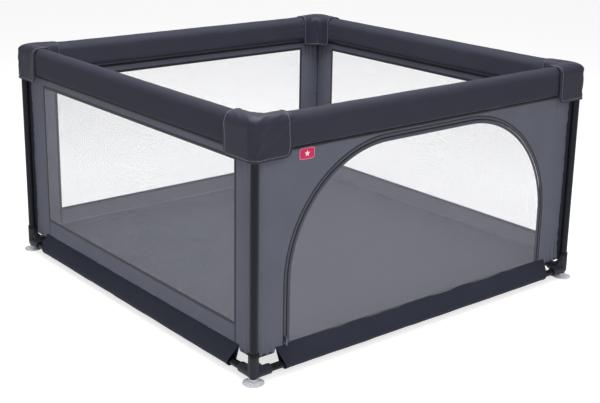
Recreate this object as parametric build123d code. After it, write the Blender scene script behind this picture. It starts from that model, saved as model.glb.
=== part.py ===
from build123d import *
import os

# A square playpen: a tube frame on four suction cups, padded top rails, fabric and mesh walls,
# and an arched mesh door in the front wall. Origin on the ground at the centre of the pen,
# +Z up, the door wall towards -Y. All sizes in millimetres.

# ---- driving dimensions ----
POST_SPACING = 1180.0        # from post axis to post axis, both ways
PAD_BOTTOM = 580.0           # underside of the padded top rail
PAD_TOP = 662.0              # crown of the padded top rail
PAD_THICKNESS = 50.0         # padded rail, from outside to inside
PAD_INSET = 13.0             # middle of the padded rail, inwards from the post axis
WALL_INSET = 14.0            # fabric walls, inwards from the post axis
CLEARANCE = 0.3              # between soft pieces that only touch
FIT = 0.05                   # radial clearance of tubes in sockets

# ---- frame tubes ----
POST_RADIUS = 11.0
RAIL_RADIUS = 9.5
TUBE_WALL = 1.2
COUPLER_LENGTH = 120.0

# ---- base connector ----
SOCKET_RADIUS = 13.5
BOTTOM_RAIL_Z = 25.0
BASE_SOCKET_TOP = 71.0
BASE_ARM_LENGTH = 50.0
BASE_WEB_LEG = 42.0
WEB_THICKNESS = 8.0
POST_SEAT_Z = 30.0           # foot of the post inside its socket
RAIL_SEAT = 18.0             # end of a rail inside its arm, from the post axis
COLLAR_HEIGHT = 6.5

# ---- suction cup ----
CUP_RADIUS = 27.5
CUP_RIM = 5.0                # width of the flat rim that rests on the ground
CUP_LIP = 2.2
CUP_DOME = 1.6               # depth of the hollow under the cup
CUP_NECK_RADIUS = 9.0
CUP_TOP = 10.0
CUP_STEM_RADIUS = 4.0
CUP_STEM_TOP = 19.0

# ---- top connector and rails ----
TOP_RAIL_Z = (PAD_BOTTOM + PAD_TOP) / 2
TOP_RAIL_INSET = 10.0
TOP_SOCKET_BOTTOM = 562.0
TOP_SEAT_Z = 605.0
TOP_ARM_LENGTH = 60.0
TOP_RAIL_SEAT = 25.0
HUB_NEAR = -10.0             # hub corner nearest the outside, from the post axis
HUB_FAR = 25.0

# ---- soft rails and caps ----
PAD_CORNER = 22.0
SLEEVE_WALL = 1.5
SLEEVE_END = 42.0            # end of a rail sleeve, from the post axis
FOAM_END = 62.0
CAP_ARM = 100.0
CAP_WALL = 3.5
CAP_OUT = 17.5               # outer face, outwards from the post axis
CAP_IN = 42.0                # inner face, inwards from the post axis
CAP_BOTTOM = 558.0
CAP_TOP = 667.0
CAP_CORNER = 15.0
CAP_EDGE = 6.0

# ---- walls ----
CLOTH = 1.2
MESH_CLOTH = 1.0
SEAM_Z = 69.0                # seam between the wall and the bottom sleeve
WINDOW_HALF = 495.0
WINDOW_BOTTOM = 120.0
WINDOW_TOP = 545.0
BINDING_WIDTH = 7.0
BINDING_THICKNESS = 1.8
SLEEVE_BULGE = 14.0          # radius of the bottom sleeve round its rail
SLEEVE_RIDGE = 1.2           # radius of the stitched ridge at its top
SLEEVE_CUT_TOP = 78.0        # slanted end of the bottom sleeve, from the post axis
SLEEVE_CUT_BOTTOM = 94.0
FLOOR_Z = 61.0
FLOOR_INSET = 18.0

# ---- door ----
ARCH_HALF = 488.0
ARCH_TOP = 559.0
ARCH_CORNER = 335.0
TAPE_WIDTH = 10.3
TAPE_THICKNESS = 1.6
COIL_WIDTH = 1.5
COIL_HEIGHT = 1.4
COIL_OFFSET = 8.4            # from the edge of the panel's opening to the coil
DOOR_OFFSET = 11.0           # from the edge of the panel's opening to the door
DOOR_BOTTOM = 71.4

# ---- slider, pull tab and label ----
SLIDER_BOTTOM = 78.0
SLIDER_LENGTH = 12.0
SLIDER_THICKNESS = 2.5
SLIDER_OFFSET = (2.0, 10.7)  # both sides, from the edge of the panel's opening
EAR_GAP = 5.4
EAR_THICKNESS = 1.0
EAR_DEPTH = 3.8
EAR_HEIGHT = 5.0
PIN_RADIUS = 0.75
PIN_OUT = 2.2                # pin axis, in front of the slider's plate
PIN_RISE = 6.5               # pin axis, above the slider's lower end
TAB_WIDTH = 5.0
TAB_THICKNESS = 1.6
TAB_LENGTH = 19.0
LABEL_SIZE = (42.0, 26.0)
LABEL_CENTRE = (-429.0, 552.0)
LABEL_THICKNESS = 1.1

HALF = POST_SPACING / 2
WALL_Y = -HALF + WALL_INSET
WALL_END = HALF - WALL_INSET
SIDES = {"front": 0, "right": 90, "back": 180, "left": 270}
CORNERS = {"front_left": 0, "front_right": 90, "back_right": 180, "back_left": 270}


def rod(start, end, radius):
    """A round bar from one point to another."""
    along = Vector(*end) - Vector(*start)
    bar = Cylinder(radius, along.length, align=(Align.CENTER, Align.CENTER, Align.MIN))
    return Plane(origin=start, z_dir=along) * bar


def tube(start, end, radius):
    """A round tube with the frame's wall thickness."""
    return rod(start, end, radius) - rod(start, end, radius - TUBE_WALL)


def block(x, y, z):
    """A box between two values on each axis."""
    corner = (x[0], y[0], z[0])
    size = (x[1] - x[0], y[1] - y[0], z[1] - z[0])
    return Pos(*corner) * Box(*size, align=(Align.MIN, Align.MIN, Align.MIN))


def at_corner(shape, corner):
    """Moves a piece, built with the post axis at X0 Y0, to one corner of the pen."""
    return Rot(0, 0, CORNERS[corner]) * (Pos(-HALF, -HALF, 0) * shape)


def at_side(shape, side):
    """Turns a piece, built in the front wall, to one side of the pen."""
    return Rot(0, 0, SIDES[side]) * shape


def across(section, half_length):
    """Extrudes a section, drawn in the YZ plane, to both sides of the middle."""
    return extrude(Plane.YZ * section, half_length, both=True)


def upright(section, thickness, y=WALL_Y):
    """Makes a sheet of cloth from a section drawn in the XZ plane."""
    plane = Plane(origin=(0, y, 0), x_dir=(1, 0, 0), z_dir=(0, -1, 0))
    return extrude(plane * section, thickness / 2, both=True)


# ---- frame ----
def base_connector():
    """Three sockets that meet in a rounded corner, webs between them, and a boss for the cup."""
    centre = (0, 0, BOTTOM_RAIL_Z)
    body = Pos(*centre) * Sphere(SOCKET_RADIUS)
    body += rod(centre, (0, 0, BASE_SOCKET_TOP), SOCKET_RADIUS)
    body += rod((0, 0, CUP_TOP), centre, CUP_NECK_RADIUS)
    web = Polyline((0, 0), (BASE_WEB_LEG, 0), (0, BASE_WEB_LEG), close=True)
    web_plane = Plane(origin=centre, x_dir=(1, 0, 0), z_dir=(0, -1, 0))
    web_x = extrude(web_plane * make_face(web), WEB_THICKNESS / 2, both=True)
    body += web_x
    body += mirror(web_x, Plane(origin=(0, 0, 0), z_dir=(1, -1, 0)))
    for direction in (Vector(1, 0, 0), Vector(0, 1, 0)):
        seat = Vector(*centre) + direction * RAIL_SEAT
        mouth = Vector(*centre) + direction * BASE_ARM_LENGTH
        body += rod(centre, tuple(mouth), SOCKET_RADIUS)
        body -= rod(tuple(seat), tuple(mouth), RAIL_RADIUS + FIT)
    body -= rod((0, 0, POST_SEAT_Z), (0, 0, BASE_SOCKET_TOP), POST_RADIUS + FIT)
    body -= rod((0, 0, CUP_TOP), (0, 0, CUP_STEM_TOP + FIT), CUP_STEM_RADIUS + FIT)
    return body


def suction_cup():
    """A soft cup with a flat rim, a hollow underneath and a stem pressed into the connector."""
    hollow_radius = CUP_RADIUS - CUP_RIM
    outline = Polyline(
        (0, CUP_DOME), (hollow_radius, 0), (CUP_RADIUS, 0), (CUP_RADIUS, CUP_LIP),
        (CUP_NECK_RADIUS, CUP_TOP - CUP_LIP), (CUP_NECK_RADIUS, CUP_TOP),
        (CUP_STEM_RADIUS, CUP_TOP), (CUP_STEM_RADIUS, CUP_STEM_TOP), (0, CUP_STEM_TOP), close=True,
    )
    return revolve(Plane.XZ * make_face(outline), Axis.Z)


def collar():
    """The black ring on the post, on top of the base connector."""
    top = BASE_SOCKET_TOP + COLLAR_HEIGHT
    ring = rod((0, 0, BASE_SOCKET_TOP), (0, 0, top), SOCKET_RADIUS)
    return ring - rod((0, 0, BASE_SOCKET_TOP), (0, 0, top), POST_RADIUS + FIT)


def top_connector():
    """The upright socket under a square hub, with two rail arms set inwards."""
    hub_side = HUB_FAR - HUB_NEAR
    hub = block((HUB_NEAR, HUB_FAR), (HUB_NEAR, HUB_FAR),
                (TOP_RAIL_Z - SOCKET_RADIUS, TOP_RAIL_Z + SOCKET_RADIUS))
    hub = fillet(hub.edges().filter_by(Axis.Z), hub_side / 8)
    hub += rod((0, 0, TOP_SOCKET_BOTTOM), (0, 0, TOP_RAIL_Z), SOCKET_RADIUS)
    inset = TOP_RAIL_INSET
    for start, seat, mouth in (
        ((0, inset, TOP_RAIL_Z), (TOP_RAIL_SEAT, inset, TOP_RAIL_Z), (TOP_ARM_LENGTH, inset, TOP_RAIL_Z)),
        ((inset, 0, TOP_RAIL_Z), (inset, TOP_RAIL_SEAT, TOP_RAIL_Z), (inset, TOP_ARM_LENGTH, TOP_RAIL_Z)),
    ):
        hub += rod(start, mouth, SOCKET_RADIUS)
        hub -= rod(seat, mouth, RAIL_RADIUS + FIT)
    return hub - rod((0, 0, TOP_SOCKET_BOTTOM), (0, 0, TOP_SEAT_Z), POST_RADIUS + FIT)


def half_tubes(y, z, seat):
    """The two half tubes of one rail, end to end."""
    end = HALF - seat
    left = tube((-end, y, z), (0, y, z), RAIL_RADIUS)
    right = tube((0, y, z), (end, y, z), RAIL_RADIUS)
    return [left, right]


def coupler(y, z):
    """The inner sleeve that joins the two half tubes of a rail."""
    reach = COUPLER_LENGTH / 2
    return tube((-reach, y, z), (reach, y, z), RAIL_RADIUS - TUBE_WALL - FIT)


# ---- padded top ----
def pad_section(shrink):
    """The rounded section of the padded rail, made smaller all round."""
    width = PAD_THICKNESS - 2 * shrink
    height = PAD_TOP - PAD_BOTTOM - 2 * shrink
    section = RectangleRounded(width, height, PAD_CORNER - shrink)
    return Pos(-HALF + PAD_INSET, TOP_RAIL_Z) * section


def rail_foam():
    """The foam round the top rail."""
    hole = Pos(-HALF + TOP_RAIL_INSET, TOP_RAIL_Z) * Circle(RAIL_RADIUS + FIT)
    return across(pad_section(SLEEVE_WALL + CLEARANCE) - hole, HALF - FOAM_END)


def rail_sleeve():
    """The fabric sleeve round the foam."""
    return across(pad_section(0) - pad_section(SLEEVE_WALL), HALF - SLEEVE_END)


def ell(near, far, reach, corner):
    """An L in plan: two arms from the outer corner along the two rails."""
    outline = Polyline((near, near), (reach, near), (reach, far), (far, far), (far, reach),
                       (near, reach), close=True)
    plan = make_face(outline)
    outer = plan.vertices().sort_by(lambda v: v.X + v.Y)[0]
    return fillet(outer, corner)


def corner_cap():
    """The padded hood over a top corner, open underneath and at both arm ends."""
    height = CAP_TOP - CAP_BOTTOM
    hood = extrude(Pos(0, 0, CAP_BOTTOM) * ell(-CAP_OUT, CAP_IN, CAP_ARM, CAP_CORNER), height)
    hood = fillet(hood.faces().sort_by(Axis.Z)[-1].edges(), CAP_EDGE)
    inside = ell(CAP_WALL - CAP_OUT, CAP_IN - CAP_WALL, CAP_ARM + CAP_WALL, CAP_CORNER - CAP_WALL)
    return hood - extrude(Pos(0, 0, CAP_BOTTOM) * inside, height - CAP_WALL)


# ---- walls ----
def wall_sheet(half_width):
    """The outline of a wall between the bottom seam and the padded rail."""
    low = SEAM_Z + CLEARANCE
    high = PAD_BOTTOM - CLEARANCE
    return Pos(0, (low + high) / 2) * Rectangle(2 * half_width, high - low)


def window(shrink):
    """The outline of a window, made smaller all round."""
    middle = (WINDOW_BOTTOM + WINDOW_TOP) / 2
    height = WINDOW_TOP - WINDOW_BOTTOM - 2 * shrink
    return Pos(0, middle) * Rectangle(2 * (WINDOW_HALF - shrink), height)


def bottom_sleeve():
    """The fabric sleeve round a bottom rail, drawn in to a stitched ridge and cut off at a slant."""
    rail = Pos(-HALF, BOTTOM_RAIL_Z)
    outer = make_hull((rail * Circle(SLEEVE_BULGE)).edges()
                      + (Pos(WALL_Y, SEAM_Z - SLEEVE_RIDGE) * Circle(SLEEVE_RIDGE)).edges())
    inner_tip = SEAM_Z - 4 * SLEEVE_RIDGE
    inner = make_hull((rail * Circle(SLEEVE_BULGE - SLEEVE_WALL)).edges()
                      + (Pos(WALL_Y - SLEEVE_RIDGE, inner_tip) * Circle(SLEEVE_RIDGE / 3)).edges())
    skin = across(outer - inner, HALF)
    low = BOTTOM_RAIL_Z - SLEEVE_BULGE
    top_x = HALF - SLEEVE_CUT_TOP
    bottom_x = HALF - SLEEVE_CUT_BOTTOM
    cut = Polyline((-bottom_x, low), (bottom_x, low), (top_x, SEAM_Z), (-top_x, SEAM_Z), close=True)
    return skin & upright(make_face(cut), 4 * SLEEVE_BULGE, -HALF)


def arch(offset, bottom):
    """The door's arched outline, moved inwards by an offset, down to a given height."""
    half = ARCH_HALF - offset
    top = ARCH_TOP - offset
    radius = ARCH_CORNER - offset
    shoulder = top - radius
    flat = half - radius
    outline = Line((half, bottom), (half, shoulder))
    outline += CenterArc((flat, shoulder), radius, 0, 90)
    outline += Line((flat, top), (-flat, top))
    outline += CenterArc((-flat, shoulder), radius, 90, 90)
    outline += Line((-half, shoulder), (-half, bottom))
    outline += Line((-half, bottom), (half, bottom))
    return make_face(outline)


def front_panel():
    """The solid fabric round the door."""
    return upright(wall_sheet(WALL_END - CLOTH) - arch(0, 0), CLOTH)


def panel_tape():
    """The zip tape sewn to the front panel, with its raised coil."""
    low = SEAM_Z + CLEARANCE
    tape = upright(arch(CLEARANCE, low) - arch(TAPE_WIDTH, 0), TAPE_THICKNESS)
    coil_front = WALL_Y - TAPE_THICKNESS / 2 - COIL_HEIGHT / 2
    coil = arch(COIL_OFFSET, low) - arch(COIL_OFFSET + COIL_WIDTH, 0)
    return tape + upright(coil, COIL_HEIGHT, coil_front)


def door_tape():
    """The zip tape and coil sewn to the door."""
    inner = DOOR_OFFSET + TAPE_WIDTH
    return upright(arch(DOOR_OFFSET, DOOR_BOTTOM) - arch(inner, 0), TAPE_THICKNESS)


def door_mesh():
    """The mesh of the door."""
    return upright(arch(DOOR_OFFSET + TAPE_WIDTH + CLEARANCE, DOOR_BOTTOM), MESH_CLOTH)


def slider_frame():
    """The front face, side walls and pin place of the zip slider."""
    back = WALL_Y - TAPE_THICKNESS / 2 - CLEARANCE
    front = back - SLIDER_THICKNESS
    sides = [offset - ARCH_HALF for offset in SLIDER_OFFSET]
    return back, front, sides


def zip_slider():
    """The slider over the panel's coil, with two ears and the pin that carries the pull tab."""
    back, front, sides = slider_frame()
    top = SLIDER_BOTTOM + SLIDER_LENGTH
    body = block(sides, (front, back), (SLIDER_BOTTOM, top))
    body = fillet(body.edges().filter_by(Axis.Y), SLIDER_LENGTH / 8)
    coil_left = COIL_OFFSET - ARCH_HALF
    groove_top = WALL_Y - TAPE_THICKNESS / 2 - COIL_HEIGHT - CLEARANCE
    groove_gap = CLEARANCE / 2
    groove = (coil_left - groove_gap, coil_left + COIL_WIDTH + groove_gap)
    body -= block(groove, (groove_top, back), (SLIDER_BOTTOM, top))
    middle = sum(sides) / 2
    pin_z = SLIDER_BOTTOM + PIN_RISE
    for side in (-1, 1):
        inner = middle + side * EAR_GAP / 2
        ear_x = sorted((inner, inner + side * EAR_THICKNESS))
        ear_z = (pin_z - EAR_HEIGHT / 2, pin_z + EAR_HEIGHT / 2)
        body += block(ear_x, (front - EAR_DEPTH, front), ear_z)
    reach = EAR_GAP / 2 + EAR_THICKNESS
    pin_y = front - PIN_OUT
    return body + rod((middle - reach, pin_y, pin_z), (middle + reach, pin_y, pin_z), PIN_RADIUS)


def pull_tab():
    """The flat tab that hangs from the slider's pin."""
    front, sides = slider_frame()[1:]
    middle = sum(sides) / 2
    pin_y = front - PIN_OUT
    pin_z = SLIDER_BOTTOM + PIN_RISE
    across_tab = (middle - TAB_WIDTH / 2, middle + TAB_WIDTH / 2)
    depth = (pin_y - TAB_THICKNESS / 2, pin_y + TAB_THICKNESS / 2)
    tab = block(across_tab, depth, (pin_z - TAB_LENGTH, pin_z))
    tab = fillet(tab.edges().filter_by(Axis.Y).sort_by(Axis.Z)[:2], TAB_WIDTH / 3)
    ends = [(x, pin_y, pin_z) for x in across_tab]
    tab += rod(*ends, TAB_THICKNESS)
    return tab - rod(*ends, PIN_RADIUS + FIT)


def label():
    """The small label sewn to the front panel."""
    face = Pos(*LABEL_CENTRE) * RectangleRounded(*LABEL_SIZE, LABEL_SIZE[1] / 8)
    front = WALL_Y - CLOTH / 2 - CLEARANCE
    return upright(face, LABEL_THICKNESS, front - LABEL_THICKNESS / 2)


def floor_sheet():
    """The cloth floor, hung from the bottom seam."""
    edge = HALF - FLOOR_INSET
    return block((-edge, edge), (-edge, edge), (FLOOR_Z, FLOOR_Z + CLOTH))


def build_nodes():
    """Every piece of the pen, by node name."""
    nodes = {}
    post = tube((0, 0, POST_SEAT_Z), (0, 0, TOP_SEAT_Z), POST_RADIUS)
    corner_pieces = {
        "post": post, "base_connector": base_connector(), "suction_cup": suction_cup(),
        "top_connector": top_connector(), "corner_cap": corner_cap(),
    }
    for name, shape in corner_pieces.items():
        for corner in CORNERS:
            nodes[f"{name}_{corner}"] = at_corner(shape, corner)
    ring = collar()
    nodes["post_collars"] = Compound(children=[at_corner(ring, corner) for corner in CORNERS])

    top_rail_y = -HALF + TOP_RAIL_INSET
    bottom_tubes = half_tubes(-HALF, BOTTOM_RAIL_Z, RAIL_SEAT)
    top_tubes = half_tubes(top_rail_y, TOP_RAIL_Z, TOP_RAIL_SEAT)
    foam, sleeve, hem = rail_foam(), rail_sleeve(), bottom_sleeve()
    couplers = []
    for side in SIDES:
        nodes[f"bottom_rail_{side}"] = Compound(children=[at_side(t, side) for t in bottom_tubes])
        nodes[f"top_rail_{side}"] = Compound(children=[at_side(t, side) for t in top_tubes])
        nodes[f"rail_foam_{side}"] = at_side(foam, side)
        nodes[f"rail_sleeve_{side}"] = at_side(sleeve, side)
        nodes[f"bottom_sleeve_{side}"] = at_side(hem, side)
        couplers.append(at_side(coupler(-HALF, BOTTOM_RAIL_Z), side))
        couplers.append(at_side(coupler(top_rail_y, TOP_RAIL_Z), side))
    nodes["rail_couplers"] = Compound(children=couplers)

    binding = upright(window(0) - window(BINDING_WIDTH), BINDING_THICKNESS)
    mesh = upright(window(BINDING_WIDTH + CLEARANCE), MESH_CLOTH)
    for side in ("left", "back", "right"):
        half_width = WALL_END - CLOTH if side == "back" else WALL_END + CLOTH / 2
        cloth = upright(wall_sheet(half_width) - window(-CLEARANCE), CLOTH)
        nodes[f"wall_fabric_{side}"] = at_side(cloth, side)
        nodes[f"window_binding_{side}"] = at_side(binding, side)
        nodes[f"window_mesh_{side}"] = at_side(mesh, side)

    nodes["front_panel"] = front_panel()
    nodes["zip_tape_panel"] = panel_tape()
    nodes["zip_tape_door"] = door_tape()
    nodes["door_mesh"] = door_mesh()
    nodes["zip_slider"] = zip_slider()
    nodes["pull_tab"] = pull_tab()
    nodes["sewn_label"] = label()
    nodes["floor_sheet"] = floor_sheet()
    return nodes


os.makedirs("parts", exist_ok=True)
for node, piece in build_nodes().items():
    export_step(piece, f"parts/{node}.step")
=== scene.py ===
import math

import bpy
from mathutils import Matrix, Vector, noise


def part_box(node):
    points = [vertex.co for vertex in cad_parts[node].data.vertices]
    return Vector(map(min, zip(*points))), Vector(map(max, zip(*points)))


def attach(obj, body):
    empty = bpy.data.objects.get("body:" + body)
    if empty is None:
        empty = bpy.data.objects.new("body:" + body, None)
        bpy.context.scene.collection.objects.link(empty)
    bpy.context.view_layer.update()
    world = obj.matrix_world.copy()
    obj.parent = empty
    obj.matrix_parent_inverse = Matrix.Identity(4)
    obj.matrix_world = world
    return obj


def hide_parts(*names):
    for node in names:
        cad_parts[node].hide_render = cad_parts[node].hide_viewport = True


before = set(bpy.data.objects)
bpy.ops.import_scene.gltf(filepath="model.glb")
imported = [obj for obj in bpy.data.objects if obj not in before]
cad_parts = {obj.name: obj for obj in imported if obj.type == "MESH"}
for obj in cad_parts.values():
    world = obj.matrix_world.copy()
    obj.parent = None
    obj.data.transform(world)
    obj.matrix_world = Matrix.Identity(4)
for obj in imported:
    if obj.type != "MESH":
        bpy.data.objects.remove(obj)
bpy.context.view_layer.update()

# A square playpen: padded top rails and corner caps, walls of cloth and net, and an arched net
# door that zips into the front wall. Metres, origin on the ground at the centre, door towards -Y.

MM = 0.001
SIDES = {"front": 0, "right": 1, "back": 2, "left": 3}
CORNERS = {"front_left": 0, "front_right": 1, "back_right": 2, "back_left": 3}
QUARTER = math.pi / 2


def middle_of(node):
    """The middle of a CAD node's box."""
    low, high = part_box(node)
    return (low + high) / 2


# ---- sizes read from the frame ----
POST = abs(middle_of("post_front_left").x)
PAD_LOW, PAD_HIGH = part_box("rail_sleeve_front")
CAP_LOW, CAP_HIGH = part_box("corner_cap_front_left")
PANEL_LOW, PANEL_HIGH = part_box("front_panel")
WINDOW_LOW, WINDOW_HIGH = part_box("window_binding_back")
DOOR_LOW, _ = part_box("door_mesh")
_, HEM_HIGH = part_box("bottom_sleeve_front")
LABEL_LOW, LABEL_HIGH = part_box("sewn_label")
FLOOR_LOW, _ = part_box("floor_sheet")
CUP_LOW, CUP_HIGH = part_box("suction_cup_front_left")

WALL_Y = (PANEL_LOW.y + PANEL_HIGH.y) / 2
WALL_END = -WALL_Y
WALL_BOTTOM = PANEL_LOW.z
WALL_TOP = PANEL_HIGH.z
CLOTH = PANEL_HIGH.y - PANEL_LOW.y
WINDOW_HALF = WINDOW_HIGH.x
WINDOW_BOTTOM = WINDOW_LOW.z
WINDOW_TOP = WINDOW_HIGH.z

# ---- sewing sizes ----
PAD_CORNER = 22 * MM         # upper edges of a rail's cover
PAD_EDGE = 7 * MM            # lower edges of a rail's cover
ARCH_HALF = 488 * MM
ARCH_TOP = 559 * MM
ARCH_CORNER = 335 * MM
PIPING = 9.5 * MM
HEM_STITCH = 6 * MM          # from a cap's edge to its stitched line
FLAP_CORNER = 22 * MM        # rounded lower corners of a cap's arms
CAP_SHOULDER = 20 * MM       # rounded edge between a cap's side and its top
LEG_DROP = 15 * MM           # how far the walls hang below the seam beside the posts
TUCK = 8 * MM                # how far the walls reach up into the rail covers
CAP_INSIDE = 40 * MM         # inner face of a cap, inwards from the post
CAP_TAPER = 3.5 * MM         # how far a cap's arms draw in towards their ends
CAP_PLY = 2.2 * MM           # thickness of a cap's padded cloth
STITCHED = 5                 # a cap's stitched line, in rows from its edge
SEAM_DEPTH = 13 * MM         # doubled seam that joins two walls to a post
SLEEVE_RADIUS = 14 * MM      # bottom sleeve, round its rail
SLEEVE_TIP = 1.2 * MM        # bottom sleeve, at its seam
SLEEVE_CUT_TOP = 78 * MM     # slanted ends of a bottom sleeve, from the post
SLEEVE_CUT_LOW = 94 * MM
COIL_LINE = 9.4 * MM         # the zip's parts, inwards from the panel's edge
DOOR_TAPE_LINE = 15.6 * MM
DOOR_NET_LINE = 19.5 * MM
SLEEVE_END = HEM_HIGH.x
LABEL_MIDDLE = (LABEL_LOW + LABEL_HIGH) / 2 + Vector((6, 0, -2)) * MM


# ---- modelling helpers ----
def clear_selection():
    """Leaves edit mode and deselects everything."""
    if bpy.context.object and bpy.context.object.mode != "OBJECT":
        bpy.ops.object.mode_set(mode="OBJECT")
    bpy.ops.object.select_all(action="DESELECT")


def select(piece):
    """Makes one piece the selected and active one."""
    clear_selection()
    piece.select_set(True)
    bpy.context.view_layer.objects.active = piece


def edit_all(piece):
    """Opens a piece in edit mode with all of it selected."""
    select(piece)
    bpy.ops.object.mode_set(mode="EDIT")
    bpy.ops.mesh.select_all(action="SELECT")


def named(name):
    """The piece just added, under its own name."""
    piece = bpy.context.object
    piece.name = name
    piece.data.name = name
    return piece


def finish_with(piece, kind, **settings):
    """Adds a modifier and applies it."""
    select(piece)
    modifier = piece.modifiers.new(kind, kind)
    for key, value in settings.items():
        setattr(modifier, key, value)
    bpy.ops.object.modifier_apply(modifier=modifier.name)


def smoothed(piece, angle=None):
    """Smooth shading, all over or up to an angle in degrees."""
    select(piece)
    if angle is None:
        bpy.ops.object.shade_smooth()
    else:
        bpy.ops.object.shade_smooth_by_angle(angle=math.radians(angle))
    return piece


def ease(value):
    """0 below 0, 1 above 1, and a smooth step between."""
    value = min(max(value, 0.0), 1.0)
    return value * value * (3 - 2 * value)


def mix(a, b, share):
    """A value part of the way from a to b."""
    return a + (b - a) * share


def ripple(point, scale, height):
    """A smooth uneven swell of about this height."""
    return height * noise.noise(Vector(point) / scale)


def walk(distance, legs, x, y, heading):
    """Where a path has got to, and its heading.

    A leg is (length, radius): None is straight, plus bends right and minus bends left.
    """
    for length, radius in legs:
        step = min(distance, length)
        if radius is None:
            x += step * math.cos(heading)
            y += step * math.sin(heading)
        else:
            turned = heading - step / radius
            x += radius * (math.sin(heading) - math.sin(turned))
            y -= radius * (math.cos(heading) - math.cos(turned))
            heading = turned
        distance -= step
    return x, y, heading


def laid_cloth(name, columns, rows, place, threads=None):
    """A grid sheet laid on its form by place(share across, share up), with UVs in metres.

    The UVs follow the flat cloth where threads gives its size, and else x and z.
    """
    clear_selection()
    bpy.ops.mesh.primitive_grid_add(x_subdivisions=columns, y_subdivisions=rows, size=1)
    piece = named(name)
    mesh = piece.data
    uv = mesh.uv_layers.active.data
    if threads:
        for loop in uv:
            loop.uv = (loop.uv[0] * threads[0], loop.uv[1] * threads[1])
    for vertex in mesh.vertices:
        vertex.co = place(vertex.co.x + 0.5, vertex.co.y + 0.5)
    if not threads:
        for loop in mesh.loops:
            point = mesh.vertices[loop.vertex_index].co
            uv[loop.index].uv = (point.x, point.z)
    return piece


def turned_copies(piece, base, turns):
    """Copies of a piece, each with its own mesh, turned by quarter turns about the pen's middle."""
    made = {}
    for place, quarters in turns.items():
        copy = piece.copy()
        copy.data = piece.data.copy()
        copy.data.transform(Matrix.Rotation(quarters * QUARTER, 4, "Z"))
        copy.name = f"{base}_{place}"
        copy.data.name = copy.name
        bpy.context.collection.objects.link(copy)
        made[place] = copy
    bpy.data.objects.remove(piece)
    return made


def dressed(piece, body, material):
    """Puts a finish on a piece and lets it ride on a body."""
    piece.data.materials.clear()
    piece.data.materials.append(material)
    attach(piece, body)
    return piece


# ---- materials ----
def tone(red, green, blue):
    """A colour from its 0 to 255 display values."""
    shares = [value / 255 for value in (red, green, blue)]
    return [((s + 0.055) / 1.055) ** 2.4 if s > 0.04045 else s / 12.92 for s in shares] + [1.0]


class Finish:
    """A material with its node tree and short ways to add nodes."""

    def __init__(self, name):
        self.material = bpy.data.materials.new(name)
        self.material.use_nodes = True
        self.tree = self.material.node_tree
        self.shader = self.tree.nodes["Principled BSDF"]

    def node(self, kind, settings=None, **inputs):
        """Adds a node, with its settings and its inputs by name."""
        made = self.tree.nodes.new(kind)
        for key, value in (settings or {}).items():
            setattr(made, key, value)
        for key, value in inputs.items():
            self.feed(made.inputs[key.replace("_", " ")], value)
        return made

    def feed(self, socket, value):
        """Sets a socket, or joins it to another."""
        if isinstance(value, bpy.types.NodeSocket):
            self.tree.links.new(value, socket)
        else:
            socket.default_value = value

    def math(self, operation, *values):
        """The result of a Math node."""
        made = self.tree.nodes.new("ShaderNodeMath")
        made.operation = operation
        for socket, value in zip(made.inputs, values):
            self.feed(socket, value)
        return made.outputs[0]

    def surface(self, **sockets):
        """Sets the shader's own sockets."""
        for key, value in sockets.items():
            self.feed(self.shader.inputs[key.replace("_", " ")], value)

    def place(self, kind="Object"):
        """Coordinates on the piece: Object or UV, in metres."""
        return self.node("ShaderNodeTexCoord").outputs[kind]

    def noise(self, where, scale, detail=2.0):
        """A soft noise, about 0 to 1."""
        made = self.node("ShaderNodeTexNoise", Vector=where, Scale=scale, Detail=detail)
        return made.outputs["Fac"]

    def spread(self, value, low, high, to_low, to_high):
        """Stretches a range of values to another."""
        made = self.node("ShaderNodeMapRange")
        for socket, given in zip(made.inputs, (value, low, high, to_low, to_high)):
            self.feed(socket, given)
        return made.outputs[0]

    def blended(self, share, first, second):
        """A colour part of the way between two."""
        made = self.tree.nodes.new("ShaderNodeMix")
        made.data_type = "RGBA"
        for socket, value in zip((made.inputs[0], made.inputs[6], made.inputs[7]),
                                 (share, first, second)):
            self.feed(socket, value)
        return made.outputs[2]

    def raised(self, height, strength, distance):
        """Bump from a height."""
        made = self.node("ShaderNodeBump", Height=height, Strength=strength, Distance=distance)
        self.feed(self.shader.inputs["Normal"], made.outputs["Normal"])

    def weave(self, pitch):
        """The height of a plain weave: each thread passes over one neighbour and under the next."""
        split = self.node("ShaderNodeSeparateXYZ", Vector=self.place("UV"))
        across = self.math("MULTIPLY", split.outputs["X"], 1 / pitch)
        up = self.math("MULTIPLY", split.outputs["Y"], 1 / pitch)
        cells = self.math("ADD", self.math("FLOOR", across), self.math("FLOOR", up))
        over = self.math("MODULO", self.math("ABSOLUTE", cells), 2.0)
        warp = self.math("ABSOLUTE", self.math("SINE", self.math("MULTIPLY", across, math.pi)))
        weft = self.math("ABSOLUTE", self.math("SINE", self.math("MULTIPLY", up, math.pi)))
        under = self.math("SUBTRACT", 1.0, over)
        return self.math("ADD", self.math("MULTIPLY", warp, over), self.math("MULTIPLY", weft, under))


def shaded(colour, share):
    """A colour made darker or lighter."""
    return [value * share for value in colour[:3]] + [1.0]


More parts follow.
